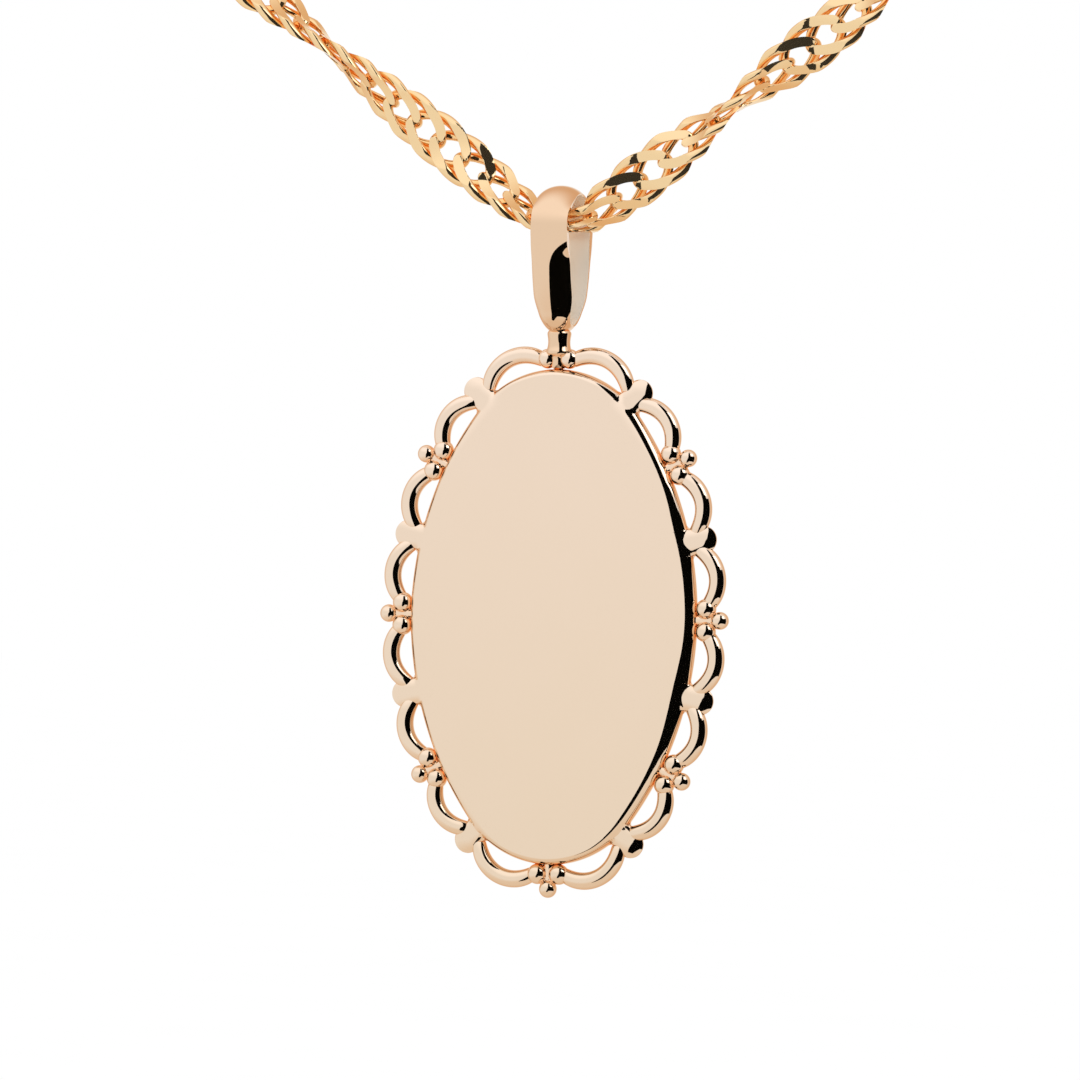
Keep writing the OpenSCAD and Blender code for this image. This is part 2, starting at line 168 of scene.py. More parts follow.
def lathe(name, profile, x=0, y=0, count=64):
    """A piece turned about an upright axis through x and y, from pairs of radius and height."""
    ring = np.linspace(0, 2 * math.pi, count + 1)[:-1]
    rows = [np.c_[x + r * np.cos(ring), y + r * np.sin(ring), np.full(count, z)] for r, z in profile]
    return loft(name, rows)


def box(at, size):
    """A box by its middle and its three sizes."""
    clear_bench()
    bpy.ops.mesh.primitive_cube_add(size=1, location=at, scale=size)
    bpy.ops.object.transform_apply()
    return bpy.context.object


def join(name, *objs):
    """Makes one piece of several."""
    clear_bench()
    for obj in objs:
        obj.select_set(True)
    bpy.context.view_layer.objects.active = objs[0]
    bpy.ops.object.join()
    objs[0].name = objs[0].data.name = name
    return objs[0]


def modify(obj, kind, **settings):
    """Adds a modifier, sets it and applies it."""
    take(obj)
    mod = obj.modifiers.new(kind.lower(), kind)
    for key, value in settings.items():
        setattr(mod, key, value)
    bpy.ops.object.modifier_apply(modifier=mod.name)
    return obj


def cut(obj, cutter):
    """Takes a cutter's shape out of a piece and throws the cutter away."""
    modify(obj, "BOOLEAN", object=cutter, operation="DIFFERENCE", solver="EXACT")
    bpy.data.objects.remove(cutter)


def hang(obj, body, slot, finish, *nodes):
    """Takes a piece off the bench and puts it in its place in the frame."""
    take(obj)
    obj.data.transform(Matrix.Translation((0, 0, FACE_Z)) @ Matrix.Scale(MM, 4))
    bpy.ops.object.shade_smooth_by_angle(angle=SHARP)
    obj.data.materials.clear()
    obj.data.materials.append(finish)
    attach(obj, body)
    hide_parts(*nodes)
    return obj


def smooth_step(x):
    """Rises softly from 0 to 1 while x does."""
    x = np.clip(x, 0, 1)
    return x * x * (3 - 2 * x)


# %% [markdown]
# ## Polished metal, card and clear sheet
#
# Polished gold has hardly any colour of its own apart from what it mirrors, tinted by the alloy. Copper makes
# the locket rosy, the bail and its stem are a slightly deeper alloy, and the chain is a yellower one. What
# keeps such a surface from looking drawn is slight unevenness: the alloy's tone drifts a little and polishing
# leaves the shine broken by very fine lines. Light is painted into the colour too: painted shade makes the
# metal darker and warmer lower down, and in nooks, where gold mirrors gold, a painted reflection deepens its
# colour to orange. The class below lets these be written as plain sums of sockets.


# %% Material tools
class Wire:
    """A socket that can be used in sums; make() adds a node and returns its first or chosen output."""

    def __init__(self, tree, socket=None):
        self.tree, self.socket = tree, socket

    def make(self, kind, settings=(), sockets=(), out=0):
        node = self.tree.nodes.new(kind)
        for key, value in dict(settings).items():
            setattr(node, key, value)
        for key, value in dict(sockets).items():
            if isinstance(value, Wire):
                self.tree.links.new(value.socket, node.inputs[key])
            else:
                node.inputs[key].default_value = value
        return Wire(self.tree, node.outputs[out])

    def reckon(self, way, a, b):
        return self.make("ShaderNodeMath", {"operation": way}, {0: a, 1: b})

    def __add__(self, other):
        return self.reckon("ADD", self, other)

    def __radd__(self, other):
        return self.reckon("ADD", other, self)

    def __mul__(self, other):
        return self.reckon("MULTIPLY", self, other)

    def __rmul__(self, other):
        return self.reckon("MULTIPLY", other, self)


def material(name):
    """A new material, with a wire to build its nodes from and the object coordinates in millimetres."""
    mat = bpy.data.materials.new(name)
    mat.use_nodes = True
    mat.node_tree.nodes.clear()
    pen = Wire(mat.node_tree)
    place = pen.make("ShaderNodeTexCoord", out="Object")
    return mat, pen, pen.make("ShaderNodeVectorMath", {"operation": "SCALE"}, {0: place, "Scale": 1 / MM})


def noise(pen, place, scale, detail=2.0, stretch=None):
    """Soft noise, finer along the axes that are stretched more."""
    if stretch:
        place = pen.make("ShaderNodeVectorMath", {"operation": "MULTIPLY"}, {0: place, 1: stretch})
    return pen.make("ShaderNodeTexNoise", {}, {"Vector": place, "Scale": scale, "Detail": detail})


def mix(pen, share, a, b):
    """Colour a, giving way to b as the share goes to 1."""
    return pen.make("ShaderNodeMix", {"data_type": "RGBA"}, {0: share, 6: a, 7: b}, 2)


def shader(pen, **sockets):
    """Leads a surface with these sockets to the material's output."""
    names = {key.replace("_", " "): value for key, value in sockets.items()}
    surface = pen.make("ShaderNodeBsdfPrincipled", {}, names)
    output = pen.tree.nodes.new("ShaderNodeOutputMaterial")
    pen.tree.links.new(surface.socket, output.inputs["Surface"])


# %% Metals and inserts
# Painted shade: between these heights the metals are painted darker and warmer towards the bottom.
TONE_TOP, TONE_LOW = FACE_Z / MM + 9, FACE_Z / MM - 11
NOOK_REACH, NOOK_OPEN, NOOK_DEEP = 0.9 * MM, 0.85, 0.25
POLISH_LINES = (28, 28, 1.6)


def polished(name, tone, warm, nook_reflection_colour, rough=0.02, metal=1.0):
    """Polished metal with painted shade, warmer and darker lower down, and a painted reflection in nooks."""
    mat, pen, place = material(name)
    height = pen.make("ShaderNodeSeparateXYZ", {}, {0: place}, "Z")
    low = pen.make("ShaderNodeMapRange", {"clamp": True}, {0: height, 1: TONE_TOP, 2: TONE_LOW})
    drift = noise(pen, place, 0.35)
    lines = noise(pen, place, 1.0, 3.0, POLISH_LINES) * noise(pen, place, 0.9)
    swell = noise(pen, place, 1.1)
    wave = pen.make("ShaderNodeBump", {}, {"Strength": 0.35, "Distance": 2e-6, "Height": swell})
    # Painted reflection: an occlusion test finds the nooks, where the colour is painted a warm orange.
    free = pen.make("ShaderNodeAmbientOcclusion", {"samples": 6}, {"Distance": NOOK_REACH}, "AO")
    nook_reflection_share = pen.make("ShaderNodeMapRange", {"clamp": True}, {0: free, 1: NOOK_OPEN, 2: NOOK_DEEP})
    # Painted shade: the tone is painted darker and warmer lower down, with a little random drift on top.
    drift_and_painted_shade = mix(pen, 0.8 * low + 0.2 * drift, (*tone, 1), (*warm, 1))
    shader(
        pen,
        Base_Color=mix(pen, nook_reflection_share, drift_and_painted_shade, (*nook_reflection_colour, 1)),
        Metallic=metal,
        Roughness=rough + 0.02 * drift + 0.03 * lines,
        Normal=wave,
    )
    return mat


def card(name):
    """Blank card with a faint grain of fibres."""
    mat, pen, place = material(name)
    fibre = noise(pen, place, 9.0, 6.0, (1, 1, 3))
    height = pen.make("ShaderNodeBump", {}, {"Strength": 0.3, "Distance": 2e-5, "Height": fibre})
    shader(
        pen,
        Base_Color=mix(pen, fibre, (0.86, 0.84, 0.78, 1), (0.94, 0.93, 0.89, 1)),
        Roughness=0.7 + 0.2 * fibre,
        Normal=height,
    )
    return mat


def clear_sheet(name):
    """Clear sheet with a little haze."""
    mat, pen, place = material(name)
    haze = noise(pen, place, 1.2, 4.0, (1, 1, 6))
    shader(
        pen,
        Base_Color=mix(pen, haze, (0.97, 0.98, 0.98, 1), (0.93, 0.96, 0.97, 1)),
        Roughness=0.02 + 0.05 * haze,
        Alpha=0.12 + 0.12 * haze,
        IOR=1.49,
    )
    return mat


# Each metal: its tone above, its painted shade tone below and the painted reflection colour in nooks.
ROSE = polished("rose_gold", (0.85, 0.688, 0.55), (0.805, 0.645, 0.482), (0.97, 0.62, 0.37))
BAIL_GOLD = polished("bail_gold", (0.785, 0.565, 0.385), (0.76, 0.54, 0.36), (0.97, 0.62, 0.37))
SATIN = polished("rose_gold_satin", (0.97, 0.87, 0.74), (0.93, 0.80, 0.64), (0.97, 0.72, 0.48), 0.36, 0.35)
GOLD = polished("yellow_gold", (0.87, 0.64, 0.36), (0.84, 0.60, 0.31), (1.0, 0.55, 0.2), 0.02, 0.95)
PAPER = card("photo_card")
CLEAR = clear_sheet("photo_window")
print("materials:", [m.name for m in (ROSE, BAIL_GOLD, SATIN, GOLD, PAPER, CLEAR)])

# %% [markdown]
# ## The face plate
#
# The plate is cast with eight finger-like lobes in its edge, and polishing has rolled the whole edge over.
# The roll runs on between the face and the lobes, which lie a little lower: it is broad beside a lobe and
# tight at the ends of the oval. A list of points runs once around the outline, with a small fillet at the
# root of each lobe. From every point a ray runs inwards to a smaller oval, and the points along it sink
# towards the middle plane as they come close to the edge. The back carries the photo well.

# %% Outline with lobes
LOBE_R, LOBE_REACH, FILLET = 0.69, 1.4, 0.25
INNER, BETWEEN = -1.25, 64
LOBES = range(1, 17, 2)


def pace(k, side):
    """Length of a station on one side of lobe k; the steps next to the top and the bottom are longer."""
    return STATION * (FIRST_LOBE if (k + side) % 8 == 0 else (4 - FIRST_LOBE) / 3)


def lobe_points(k):
    """Outline of lobe k as x, z and station, and the stations that it takes up before and after k."""
    bend = END_R if STATION * min(k % 8, 8 - k % 8) < END_ARC else SIDE_R
    x0, z0, turn = (float(v) for v in rim_at(k, 0))
    root = math.sqrt((bend + FILLET) ** 2 - (LOBE_R + FILLET) ** 2) - bend
    foot = math.asin((LOBE_R + FILLET) / (bend + FILLET))
    a = np.linspace(math.pi, 1.5 * math.pi - foot, 10)
    fillet = np.c_[LOBE_R + FILLET + FILLET * np.cos(a), root + FILLET * np.sin(a)]
    flank = np.c_[np.full(6, LOBE_R), np.linspace(LOBE_REACH - LOBE_R, root, 6)]
    a = np.linspace(math.pi / 2, 0, 14)
    tip = np.c_[LOBE_R * np.cos(a), LOBE_REACH - LOBE_R + LOBE_R * np.sin(a)]
    half = np.vstack([tip, flank[1:], fillet[1:]])
    line = np.vstack([half[:0:-1] * (-1, 1), half])
    across, out = line.T
    before, after = (foot * (bend + BEAD_OFF) / pace(k, side) for side in (-1, 1))
    t = k + across / half[-1, 0] * np.where(across < 0, before, after)
    x = x0 + out * math.cos(turn) + across * math.sin(turn)
    z = z0 + out * math.sin(turn) - across * math.cos(turn)
    return np.c_[x, z, t], before, after


# The round starts where lobe 15, one station before the top, ends
outline, last = [], -1 + lobe_points(15)[2]
for k in LOBES:
    lobe, before, after = lobe_points(k)
    t = np.linspace(last, k - before, BETWEEN + 2)[1:-1]
    x, z, _ = rim_at(t, 0)
    outline += [np.c_[x, z, t], lobe]
    last = k + after
outline = np.vstack(outline)
edge_xz, edge_t = outline[:, :2], outline[:, 2]
print("outline points:", len(outline))

# %% Rows of the plate
BATCH = 500


def edge_distance(points):
    """Distance of points from the outline, measured to its segments, a batch of points at a time."""
    run = np.roll(edge_xz, -1, 0) - edge_xz
    result = []
    for part in np.array_split(points, max(1, len(points) // BATCH)):
        lead = part[:, None] - edge_xz
        share = np.clip((lead * run).sum(2) / np.maximum((run * run).sum(1), 1e-12), 0, 1)
        result.append(np.linalg.norm(lead - share[..., None] * run, axis=2).min(1))
    return np.concatenate(result)


ROLL, WAVE, WAVE_HALF, WAVE_IN = 0.64, 0.85, 1.9, -3
TIGHT, TIGHT_TOP, TIGHT_TOP_RUN, TIGHT_LOW, TIGHT_LOW_RUN = 0.62, 10.6, 1.2, 7.0, 4.2
LOBE_T, LOBE_DROP = {-1: 0.33, 1: 0.5}, 0.2
MELT, EDGE_R = 0.09, 0.35
ROWS, CROWDED = 28, 1.6
inner_x, inner_z, _ = rim_at(edge_t, INNER)
inner_xz = np.c_[inner_x, inner_z]
lobe_axes = [[float(v) for v in rim_at(k, 0)] for k in LOBES]


def oval_inside(p):
    """How far points lie inside the plain oval; negative outside it."""
    x, z = np.abs(p).T
    turn = np.arctan2(z, x + SIDE_C)
    side = SIDE_R - np.hypot(x + SIDE_C, z)
    end = END_R - np.hypot(x, z - END_C)
    return np.where(turn < JOINT, side, end)


def round_over(q):
    """Height of a quarter circle, from 0 at its edge to 1 where it meets the flat."""
    q = np.clip(q, 0, 1)
    return np.sqrt(1 - (1 - q) ** 2)


def plate_depth(p, side):
    """Half thickness of the plate at points, with the lobes melted into its rounded edge."""
    lobes, near = np.zeros(len(p)), np.zeros(len(p))
    for x, z, turn in lobe_axes:
        out = (p[:, 0] - x) * math.cos(turn) + (p[:, 1] - z) * math.sin(turn)
        across = (p[:, 0] - x) * math.sin(turn) - (p[:, 1] - z) * math.cos(turn)
        far = np.hypot(across, np.maximum(0, out - LOBE_REACH + LOBE_R))
        thick = LOBE_T[side] - LOBE_DROP * np.clip(out / LOBE_REACH, 0, 1) ** 2
        dome = np.sqrt(np.clip(1 - (far / LOBE_R) ** 2, 0, 1))
        lobes = np.maximum(lobes, thick * dome * (out > INNER))
        near = np.maximum(near, np.exp(-((across / WAVE_HALF) ** 2)) * (out > WAVE_IN))
    top = smooth_step((p[:, 1] - TIGHT_TOP) / TIGHT_TOP_RUN)
    low = smooth_step((-p[:, 1] - TIGHT_LOW) / TIGHT_LOW_RUN)
    roll = ROLL * (1 + WAVE * near) * (1 - TIGHT * (top + low))
    body = PLATE_T / 2 * round_over(oval_inside(p) / roll)
    close = np.clip(1 - np.abs(body - lobes) / MELT, 0, 1)
    skin = np.maximum(body, lobes) + close**2 * MELT / 4
    return np.minimum(skin, PLATE_T / 2 * round_over(edge_distance(p) / EDGE_R))


def plate_row(w, side):
    """One row at share w of the way in, on the front (side -1) or the back."""
    p = edge_xz + w * (inner_xz - edge_xz)
    return np.c_[p[:, 0], side * plate_depth(p, side), p[:, 1]]


WELL, CASE_FLOOR = -2.05, -0.125
shares = [(n / ROWS) ** CROWDED for n in range(ROWS + 1)]
rows = [plate_row(w, -1) for w in reversed(shares)] + [plate_row(w, 1) for w in shares[1:]]
well_x, well_z, _ = rim_at(edge_t, WELL)
rows += [np.c_[well_x, np.full_like(well_x, y), well_z] for y in (PLATE_T / 2, CASE_FLOOR)]
plate = loft("case_shell", rows)
print("plate rows:", len(rows))

# %% Slot for the catch
CATCH_LEDGE, CATCH_T, CATCH_HALF, CATCH_IN = 0.3, 0.3, 0.9, 0.42
SLOT_SHIFT, SLOT_PLAY = 0.02, 0.1
slot_x = HALF_W + WELL + CATCH_LEDGE + CATCH_T / 2 + SLOT_SHIFT
slot_size = (CATCH_T + 2 * SLOT_PLAY, 2 * CATCH_IN, 2 * CATCH_HALF + 2 * SLOT_PLAY)
cut(plate, box((slot_x, PLATE_T / 2, 0), slot_size))
hang(plate, "locket", "rose_gold", ROSE, "front_case")
print("plate:", len(plate.data.polygons), "faces")

# %% [markdown]
# ## The lace: arches and beads
#
# Each arch is a short piece of round wire, bent to a circular arc and thinned towards its ends, where it
# dives into a lobe on one side and into a bead cluster on the other. The beads were cast in threes on a
# short spoke. Balls and rods are joined, and a voxel remesh melts them together with a soft neck, as the
# casting has.

# %% Arches
ARCH_WIDE, ARCH_DEEP, ARCH_RISE, TOP_FLAT = 0.44, 0.42, 1.15, 0.1
AT_LOBE, AT_BEAD = (0.11, 0.34), (0.165, 0.46)
THIN_WIDE, THIN_DEEP = 0.22, 0.45


def arch(k):
    """The arch from station k to the next, which starts at a lobe where k is odd."""
    first, second = (AT_LOBE, AT_BEAD) if k % 2 else (AT_BEAD, AT_LOBE)
    a = np.array(rim_at(k + first[0], first[1])[:2], float)
    b = np.array(rim_at(k + 1 - second[0], second[1])[:2], float)
    m = np.array(rim_at(k + 0.5, ARCH_RISE - (TOP_FLAT if k in (0, 15) else 0))[:2], float)
    chord = np.linalg.norm(b - a)
    across = (b - a) / chord
    out = np.array([-across[1], across[0]])
    rise = (m - (a + b) / 2) @ out
    r = (chord**2 / 4 + rise**2) / (2 * rise)
    half = math.asin(chord / 2 / r)
    centre = (a + b) / 2 + out * (rise - r)
    rows = []
    for f in np.linspace(-1, 1, 41):
        way = out * math.cos(f * half) + across * math.sin(f * half)
        wide, deep = ARCH_WIDE * (1 - THIN_WIDE * f**4), ARCH_DEEP * (1 - THIN_DEEP * f**4)
        ring = np.linspace(0, 2 * math.pi, 33)[:-1]
        flat = centre + np.outer(r + wide * np.cos(ring), way)
        rows.append(np.c_[flat[:, 0], deep * np.sin(ring), flat[:, 1]])
    return loft(f"arch_{k + 1:02d}", rows)


for k in range(16):
    hang(arch(k), "locket", "rose_gold", ROSE, f"lace_arch_{k + 1:02d}")
print("arches: 16")

# %% Bead clusters
BEAD_R, OUTER_R, TOP_R = 0.52, 0.45, 0.5
BEAD_AT, BEAD_HALF, BEAD_STEP, TOP_HALF = 0.46, 0.57, 0.74, 0.58
SPOKE_R, SPOKE_Y, SPOKE_LOW, TOP_LIFT = 0.3, 0.14, -0.1, 0.05
VOXEL = 0.026


def ball(x, z, r):
    """A bead by its place and radius."""
    bpy.ops.mesh.primitive_uv_sphere_add(segments=48, ring_count=32, radius=r, location=(x, 0, z))
    return bpy.context.object


def rod(low, high, r, turn=0.0):
    """A rod along z, or turned about its middle."""
    at = (0, SPOKE_Y, (low + high) / 2)
    bpy.ops.mesh.primitive_cylinder_add(
        vertices=32, radius=r, depth=high - low, location=at, rotation=(0, turn, 0)
    )
    return bpy.context.object


def melt(name, *objs):
    """Joins the parts of a casting and melts them into one skin."""
    obj = take(join(name, *objs))
    bpy.ops.object.transform_apply()
    obj.data.remesh_voxel_size = VOXEL
    bpy.ops.object.voxel_remesh()
    return modify(obj, "SMOOTH", factor=0.5, iterations=3)


clear_bench()
pair = [ball(side * BEAD_HALF, BEAD_AT, BEAD_R) for side in (-1, 1)]
bar = rod(BEAD_AT - BEAD_HALF, BEAD_AT + BEAD_HALF, SPOKE_R, math.pi / 2)
spoke = rod(SPOKE_LOW, BEAD_AT + BEAD_STEP, SPOKE_R)
three = melt("beads_three", *pair, ball(0, BEAD_AT + BEAD_STEP, OUTER_R), bar, spoke)
clear_bench()
two = melt("beads_two", *[ball(side * TOP_HALF, BEAD_AT + TOP_LIFT, TOP_R) for side in (-1, 1)])

for n in range(1, 9):
    model = two if n == 1 else three
    obj = model.copy()
    obj.data = model.data.copy()
    obj.name = obj.data.name = f"beads_{n}"
    bpy.context.collection.objects.link(obj)
    x, z, turn = (float(v) for v in rim_at(2 * (n - 1), 0))
    place = Matrix(
        (
            (math.sin(turn), 0, math.cos(turn), x),
            (0, 1, 0, 0),
            (-math.cos(turn), 0, math.sin(turn), z),
            (0, 0, 0, 1),
        )
    )
    obj.data.transform(place)
    hang(obj, "locket", "rose_gold", ROSE, f"bead_cluster_{n}")
bpy.data.objects.remove(three)
bpy.data.objects.remove(two)
print("bead clusters: 8")

# %% [markdown]
# ## Stem and bail
#
# The stem is turned: a profile swept around its own axis. The bail is a strip of domed wire, wide over the
# crown and narrowed at the foot, bent into a long loop and soldered to the stem. Its cross-section has an
# outside that is domed but flatter at the shoulders, two low side walls and an almost flat inside with a
# satin finish. It is carried around the loop, from the foot up the front leg, over the crown and down the
# other leg.

# %% Stem
FOOT_UP, STEM_LEN, STEM_IN = 0.38, 0.85, 0.1
FOOT_Z = HALF_H + BEAD_OFF + FOOT_UP
# Radius and height of each point of the profile
STEM = [
    (0.40, HALF_H - STEM_IN),
    (0.40, FOOT_Z - 0.32),
    (0.46, FOOT_Z - 0.24),
    (0.62, FOOT_Z - 0.16),
    (0.67, FOOT_Z - 0.08),
    (0.66, FOOT_Z + 0.02),
    (0.60, FOOT_Z + 0.14),
    (0.565, FOOT_Z + 0.30),
    (0.555, FOOT_Z + 0.48),
    (0.57, FOOT_Z + 0.64),
    (0.60, FOOT_Z + 0.80),
    (0.62, FOOT_Z + 0.95),
    (0.50, FOOT_Z + 1.10),
]
stem = modify(lathe("stem", STEM), "SUBSURF", levels=1, render_levels=1)
hang(stem, "locket", "rose_gold", BAIL_GOLD, "bail_stem")
print("stem:", len(stem.data.polygons), "faces")

# %% Bail
BAIL_W, BAIL_FOOT_W, BAIL_T, BAIL_EDGE = 1.9, 1.2, 0.55, 0.16
BAIL_IN, BAIL_FOOT_R, BAIL_SPAN, BAIL_BELLY = 1.45, 0.8, 4.1, 0.22
BAIL_LOW = FOOT_Z + STEM_LEN
FOOT_C = BAIL_LOW + BAIL_T + BAIL_FOOT_R
CROWN_C = FOOT_C + BAIL_SPAN
BAND_IN, BAND_C = BAIL_IN + BAIL_BELLY, CROWN_C - BAIL_BELLY
LEAN = math.asin((BAND_IN - BAIL_FOOT_R) / (BAND_C - FOOT_C))
LEG = (BAND_C - FOOT_C) * math.cos(LEAN)
DOME_LEG, DOME_SHOULDER, BAIL_YAW, BOW = math.radians(54), math.radians(7), math.radians(2), 0.16
SKEW, FLAT_EDGE = math.tan(math.radians(10)), 0.3
FLAT_FROM, FLAT_RUN, FLAT_TO, FLAT_FADE = -1.8, 1.3, 0.5, 1.0
TAPER = 0.5 * BAIL_SPAN
INNER_DOME, WALL_LOW, INNER_STEPS = 0.09, 0.13, (0.97, 0.8, 0.6, 0.4, 0.2)
FACING = 0.8


def bail_section(dome):
    """Half-widths and heights around the band: domed outside, side walls and slightly domed inside."""
    a = np.linspace(-dome, dome, 29)
    lift = (np.cos(a) - math.cos(dome)) / (1 - math.cos(dome))
    edge = BAIL_EDGE + FLAT_EDGE * (DOME_LEG - dome) / (DOME_LEG - DOME_SHOULDER)
    outside = np.c_[np.sin(a) / math.sin(dome), edge + (BAIL_T - edge) * lift]
    steps = [*INNER_STEPS, 0, *(-x for x in reversed(INNER_STEPS))]
    inside = [(x, INNER_DOME * x * x) for x in steps]
    return np.vstack([outside, [(1.0, WALL_LOW)], inside, [(-1.0, WALL_LOW)]])


def bail_ring(a):
    """The section at distance a from the crown's top along the inner line; a < 0 is the front half."""
    side, a = (-1 if a < 0 else 1), abs(a)
    crown, foot = BAND_IN * (math.pi / 2 + LEAN), BAIL_FOOT_R * (math.pi / 2 - LEAN)
    on_leg, on_foot = min(max(a - crown, 0), LEG), max(0, a - crown - LEG)
    turn = min(a, crown) / BAND_IN + on_foot / BAIL_FOOT_R
    out = np.array([math.sin(turn), math.cos(turn)])
    if on_foot:
        p = np.array([0, FOOT_C]) + BAIL_FOOT_R * out
    else:
        bow = BOW * math.sin(math.pi * on_leg / LEG)
        down = np.array([math.cos(turn), -math.sin(turn)])
        p = np.array([0, BAND_C]) + (BAND_IN + bow) * out + on_leg * down
    width = BAIL_FOOT_W + (BAIL_W - BAIL_FOOT_W) * float(smooth_step((p[1] - BAIL_LOW) / TAPER))
    rise = p[1] - BAND_C
    flat = smooth_step((rise - FLAT_FROM) / FLAT_RUN) * (1 - smooth_step((rise - FLAT_TO) / FLAT_FADE))
    across, high = bail_section(DOME_LEG + (DOME_SHOULDER - DOME_LEG) * float(flat)).T
    x = across * width / 2
    return np.c_[x, side * (p[0] + high * out[0]) + SKEW * (1 - flat) * x, p[1] + high * out[1]]


half_loop = BAND_IN * (math.pi / 2 + LEAN) + LEG + BAIL_FOOT_R * (math.pi / 2 - LEAN)
bail = loft("bail_loop", [bail_ring(a) for a in np.linspace(-half_loop, half_loop, 161)[:-1]], loop=True)
bail.data.transform(Matrix.Rotation(BAIL_YAW, 4, "Z"))
hang(bail, "locket", "rose_gold", BAIL_GOLD, "bail")
bail.data.materials.append(SATIN)
for face in bail.data.polygons:
    y, z = face.center.y, face.center.z - FACE_Z
    inward = Vector((0, -y, min(max(z, FOOT_C * MM), CROWN_C * MM) - z))
    face.material_index = int(face.normal.dot(inward.normalized()) > FACING)
print("bail:", len(bail.data.polygons), "faces")

# %% [markdown]
# ## The chain
#
# A twisted curb chain is made of oval links that are each turned a little on from the last. The chain as a
# whole has been cut flat on its two faces, which turn with it, and that is what makes it glitter. Each link
# is laid out straight, and the layout is then carried along the chain's path: a bend through the bail and a
# straight strand each way. The last link of a strand is plain thinner wire that passes through an eye.

# %% Links
WIRE, LINK_LEN, LINK_W, PITCH, LINKS = 0.48, 3.9, 2.05, 1.6, 14
STRAND, BEND_R = math.radians(37.1), 3.0
TWIST_LEFT, TWIST_RIGHT = math.radians(18), math.radians(26)
LINK_TWIST = math.radians(-22.5) / PITCH
WIDE, CUT, LINK_LOOK, LAST_WIRE = 0.56, 0.34, 3.45, 0.4
UNTWISTED = 0.3


def path(s):
    """Points x and z on the chain's path and its slope, s along it from the middle of the bend."""
    side, a = np.sign(s), np.abs(s)
    bend = np.minimum(a / BEND_R, STRAND)
    more = np.maximum(0, a - BEND_R * STRAND)
    x = BEND_R * np.sin(bend) + more * np.cos(bend)
    z = CROWN_C + BEND_R * (1 - np.cos(bend)) + more * np.sin(bend)
    return side * x, z, side * bend


def ribbon(i):
    """Turn of the chain's flat faces about its path, i links from the middle of the bend."""
    i = np.asarray(i, float)
    right, left = np.maximum(i - UNTWISTED, 0), np.minimum(i + UNTWISTED, 0)
    return TWIST_RIGHT * right + TWIST_LEFT * left - math.pi / 2


def link(i):
    """Link i, counted from the middle of the bend."""
    t = np.linspace(0, 2 * math.pi, 81)[:-1, None]
    a = np.linspace(0, 2 * math.pi, 29)[None, :-1]
    last = abs(i) == LINKS
    length, broad, thick = (LINK_LEN, LAST_WIRE, LAST_WIRE) if last else (LINK_LOOK, WIDE, WIRE)
    out = np.c_[LINK_W / 2 * np.cos(t), length / 2 * np.sin(t)]
    out /= np.linalg.norm(out, axis=1, keepdims=True)
    out_by, up_by = broad / 2 * np.cos(a), thick / 2 * np.sin(a)
    x = length / 2 * np.cos(t) + out[:, :1] * out_by
    r = LINK_W / 2 * np.sin(t) + out[:, 1:] * out_by
    turn = ribbon(i + x / PITCH)
    lean = ribbon(i) + LINK_TWIST * x - turn
    wide = r * np.cos(lean) - up_by * np.sin(lean)
    high = np.clip(r * np.sin(lean) + up_by * np.cos(lean), -CUT, CUT)
    px, pz, slope = path(i * PITCH + x)
    up = wide * np.cos(turn) - high * np.sin(turn)
    deep = wide * np.sin(turn) + high * np.cos(turn)
    rows = np.stack([px - up * np.sin(slope), deep, pz + up * np.cos(slope)], 2)
    return loft(f"link_{i + LINKS:02d}", rows, loop=True)


for i in range(-LINKS, LINKS + 1):
    node = "chain_bail_links" if abs(i) < 2 else "chain_left_links" if i < 0 else "chain_right_links"
    hang(link(i), "chain", "yellow_gold", GOLD, node)
print("links:", 2 * LINKS + 1)

# %% [markdown]
# ## End rings
#
# The strands end in two soldered rings that the piece is hung from. Each has a flat inner wall and a small
# eye beside it, in which the last link hangs, so that its bore stays free.

# %% Rings with an eye
RING_BORE, RING_WIRE, RING_FLAT = 1.5, 0.32, 0.22
RING_MID = RING_BORE + RING_FLAT
EYE_WIRE, EYE_PLAY, EYE_BITE = 0.25, 0.06, 0.12
EYE_MID = WIRE + EYE_WIRE
EYE_S = LINKS * PITCH + LINK_LEN / 2 - WIRE / 2 - EYE_WIRE - EYE_PLAY + EYE_MID
RING_S = EYE_S + EYE_MID + EYE_WIRE + RING_MID + RING_WIRE - EYE_BITE


def end_ring(name, side):
    """The ring on the left (side -1) or the right, with its eye turned to suit the last link."""
    a = np.linspace(0, 2 * math.pi, 37)[:-1]
    radius = np.maximum(RING_MID + RING_WIRE * np.cos(a), RING_BORE)
    x, z, _ = (float(v) for v in path(side * RING_S))
    turns = np.linspace(0, 2 * math.pi, 97)[:-1]
    depth = RING_WIRE * np.sin(a)
    rows = [np.c_[x + radius * math.cos(t), depth, z + radius * math.sin(t)] for t in turns]
    hoop = loft(name, rows, loop=True)
    x, z, _ = (float(v) for v in path(side * EYE_S))
    turn = float(ribbon(side * LINKS)) + side * LINK_TWIST * LINK_LEN / 2
    clear_bench()
    bpy.ops.mesh.primitive_torus_add(
        major_radius=EYE_MID, minor_radius=EYE_WIRE, major_segments=64, minor_segments=24
    )
    eye = bpy.context.object
    lie = Matrix.Rotation(-side * STRAND, 4, "Y") @ Matrix.Rotation(-turn, 4, "X")
    eye.data.transform(Matrix.Translation((x, 0, z)) @ lie)
    return join(name, hoop, eye)


hang(end_ring("ring_left", -1), "end_rings", "yellow_gold", GOLD, "left_end_ring")
hang(end_ring("ring_right", 1), "end_rings", "yellow_gold", GOLD, "right_end_ring")
print("end rings: 2")

